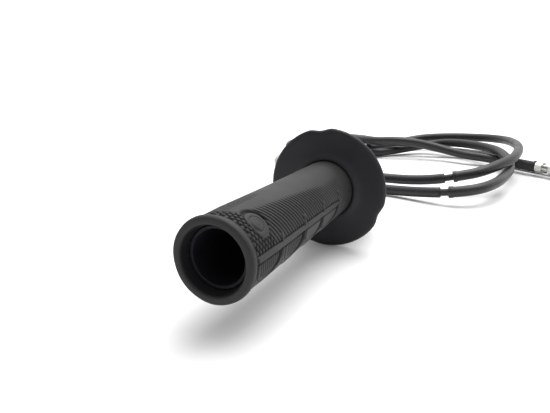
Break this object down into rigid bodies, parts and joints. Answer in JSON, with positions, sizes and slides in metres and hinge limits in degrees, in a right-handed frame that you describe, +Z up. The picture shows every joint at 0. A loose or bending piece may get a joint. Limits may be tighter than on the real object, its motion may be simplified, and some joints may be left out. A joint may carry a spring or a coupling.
{
  "type": "motorcycle throttle grip",
  "caption": "Ribbed rubber twist grip with a scalloped flange on a throttle tube, a split clamp housing, and pull and return cables with sleeves and threaded adjusters.",
  "frame": {"origin": "on the surface that the part lies on, under the middle of the grip and housing, cables left out", "axes": "+Z up, +Y along the handlebar from the open outboard end towards the housing, +X to the right seen from the outboard end"},
  "size_m": [0.3234, 0.4232, 0.0646],
  "materials": {
    "grip_rubber": "soft moulded rubber, matt, ribbed and knurled",
    "flange_rubber": "smooth moulded rubber, matt",
    "tube_plastic": "moulded glass-filled nylon",
    "washer_plastic": "natural nylon",
    "housing_metal": "die-cast alloy with satin black paint",
    "screw_steel": "zinc-plated socket-head steel",
    "zinc_plate": "bright zinc-plated steel",
    "wire_steel": "stranded stainless wire",
    "brass": "turned brass",
    "sleeve_plastic": "extruded plastic tube, satin",
    "conduit_plastic": "extruded plastic casing, satin",
    "boot_rubber": "soft rubber, matt"
  },
  "bodies": {
    "housing": {"housing_rear": "housing_metal", "housing_front": "housing_metal", "clamp_screw_upper": "screw_steel", "clamp_screw_lower": "screw_steel", "bearing_washer": "washer_plastic", "return_elbow": "zinc_plate", "return_elbow_nut": "zinc_plate", "return_wire_inner": "wire_steel", "return_boot": "boot_rubber", "return_near_sleeve": "sleeve_plastic", "return_conduit": "conduit_plastic", "return_far_sleeve": "sleeve_plastic", "return_far_boot": "boot_rubber", "return_ferrule": "zinc_plate", "return_inner_nut": "zinc_plate", "return_outer_nut": "zinc_plate", "pull_elbow": "zinc_plate", "pull_elbow_nut": "zinc_plate", "pull_wire_inner": "wire_steel", "pull_boot": "boot_rubber", "pull_near_sleeve": "sleeve_plastic", "pull_conduit": "conduit_plastic", "pull_far_sleeve": "sleeve_plastic", "pull_far_boot": "boot_rubber", "pull_ferrule": "zinc_plate", "pull_inner_nut": "zinc_plate", "pull_outer_nut": "zinc_plate"},
    "throttle": {"grip_sleeve": "grip_rubber", "grip_flange": "flange_rubber", "throttle_tube": "tube_plastic", "pull_barrel": "brass", "return_barrel": "brass"},
    "pull_wire": {"pull_wire_end": "wire_steel", "pull_nipple": "brass"},
    "return_wire": {"return_wire_end": "wire_steel", "return_nipple": "brass"}
  },
  "joints": [
    {"name": "throttle_twist", "type": "hinge", "parent": "housing", "child": "throttle", "pos_m": [0.00525, 0.0575, 0.0324], "axis": [0, -1, 0], "range_deg": [0, 75], "deforming": ["pull_wire_inner", "return_wire_inner"]},
    {"name": "pull_wire_travel", "type": "slide", "parent": "housing", "child": "pull_wire", "axis": [-0.8829, 0.4695, 0], "range_m": [0, 0.0205]},
    {"name": "return_wire_travel", "type": "slide", "parent": "housing", "child": "return_wire", "axis": [0.8829, -0.4695, 0], "range_m": [0, 0.0205]}
  ],
  "couplings": [
    {"joint": "pull_wire_travel", "follows": "throttle_twist", "m_per_rad": 0.0155},
    {"joint": "return_wire_travel", "follows": "throttle_twist", "m_per_rad": 0.0155}
  ]
}
